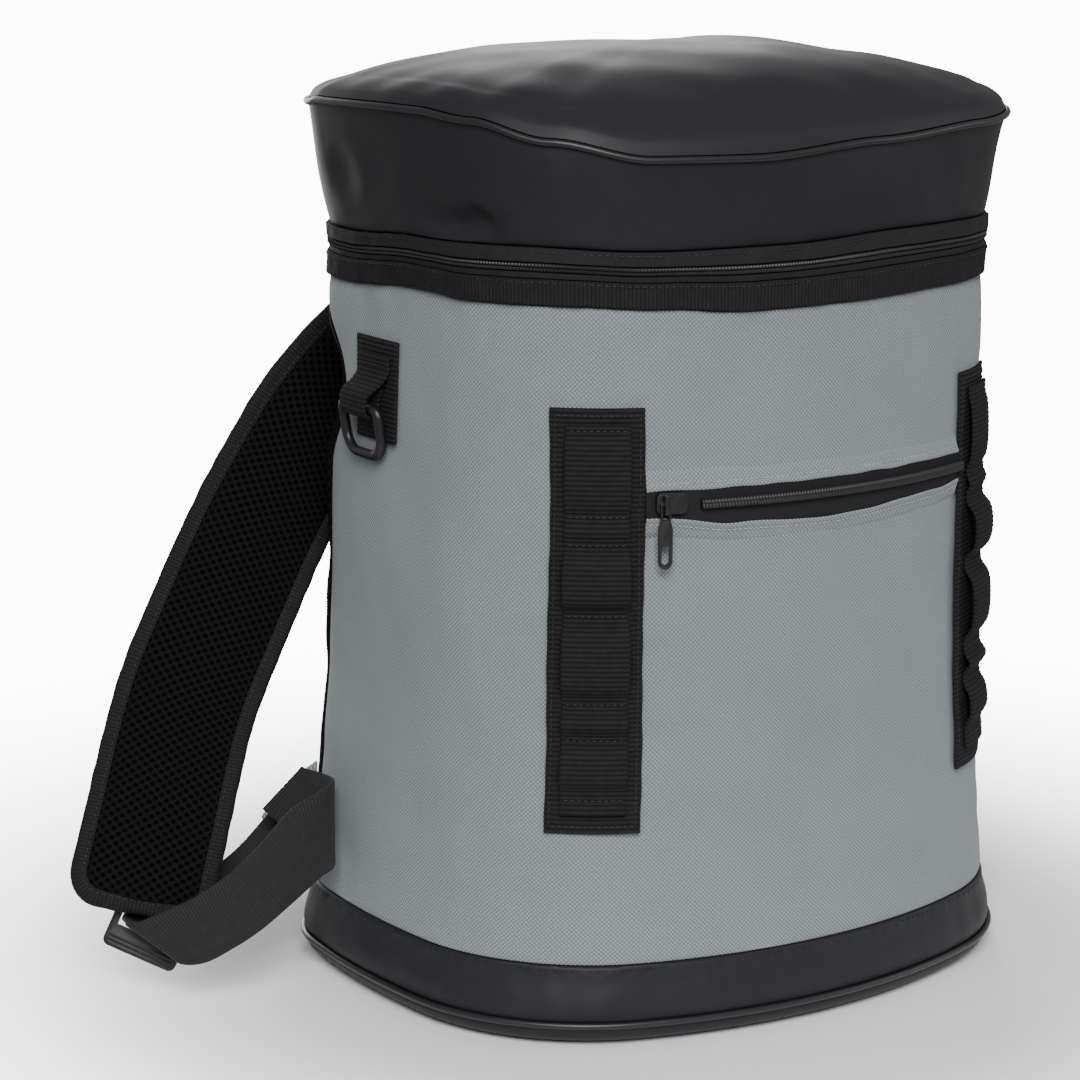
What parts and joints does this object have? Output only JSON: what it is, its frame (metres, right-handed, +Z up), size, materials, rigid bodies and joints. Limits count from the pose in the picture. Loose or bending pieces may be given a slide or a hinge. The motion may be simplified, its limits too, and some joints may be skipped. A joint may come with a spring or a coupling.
{
  "type": "cooler backpack",
  "caption": "soft-sided insulated cooler backpack with a rounded drum body, domed zip lid, front zip pocket, two webbing ladders and padded shoulder straps",
  "frame": {"origin": "middle of the flat base, on the floor", "axes": "+X to the right seen from the front, +Y from the front pocket to the back panel, +Z up"},
  "size_m": [0.495, 0.3137, 0.4],
  "materials": {
    "coated_cloth": "coated, low sheen",
    "piping": "smooth, satin",
    "grey_polyester": "two-tone woven",
    "air_mesh": "open knitted mesh",
    "webbing": "ribbed weave",
    "zip_coil": "moulded",
    "zip_metal": "satin enamel",
    "moulded_nylon": "moulded, satin"
  },
  "bodies": {
    "bag": {"base_band": "coated_cloth", "base_panel": "coated_cloth", "base_piping": "piping", "front_side_wrap": "grey_polyester", "back_panel": "air_mesh", "zip_band_binding": "webbing", "zip_band_lower_tape": "webbing", "zip_band_coil": "zip_coil", "zip_band_upper_tape": "webbing", "lid_wall": "coated_cloth", "lid_piping": "piping", "lid_top_panel": "coated_cloth", "ladder_backing_left": "webbing", "ladder_webbing_left": "webbing", "ladder_backing_right": "webbing", "ladder_webbing_right": "webbing", "pocket_zip_tape": "webbing", "pocket_zip_coil": "zip_coil", "pocket_zip_slider": "zip_metal", "main_zip_slider": "zip_metal", "ring_tab_backing": "webbing", "ring_tab_webbing": "webbing", "oval_ring": "moulded_nylon", "strap_pad_left": "air_mesh", "strap_binding_left": "webbing", "ladder_lock_left": "moulded_nylon", "adjuster_webbing_left": "webbing", "strap_wing_left": "grey_polyester", "keeper_webbing_left": "webbing", "strap_anchor_left": "webbing", "strap_pad_right": "air_mesh", "strap_binding_right": "webbing", "ladder_lock_right": "moulded_nylon", "adjuster_webbing_right": "webbing", "strap_wing_right": "grey_polyester", "keeper_webbing_right": "webbing", "strap_anchor_right": "webbing"},
    "pocket_pull": {"pocket_zip_pull": "zip_metal"},
    "main_pull": {"main_zip_pull": "zip_metal"}
  },
  "joints": [
    {"name": "pocket_pull_swing", "type": "hinge", "parent": "bag", "child": "pocket_pull", "pos_m": [-0.07697, -0.09619, 0.2242], "axis": [-0.9516, 0.3074, 0], "range_deg": [0, 165]},
    {"name": "main_pull_swing", "type": "hinge", "parent": "bag", "child": "main_pull", "pos_m": [0.13673, 0.06747, 0.31754], "axis": [0.309, -0.9511, 0], "range_deg": [0, 165]}
  ]
}
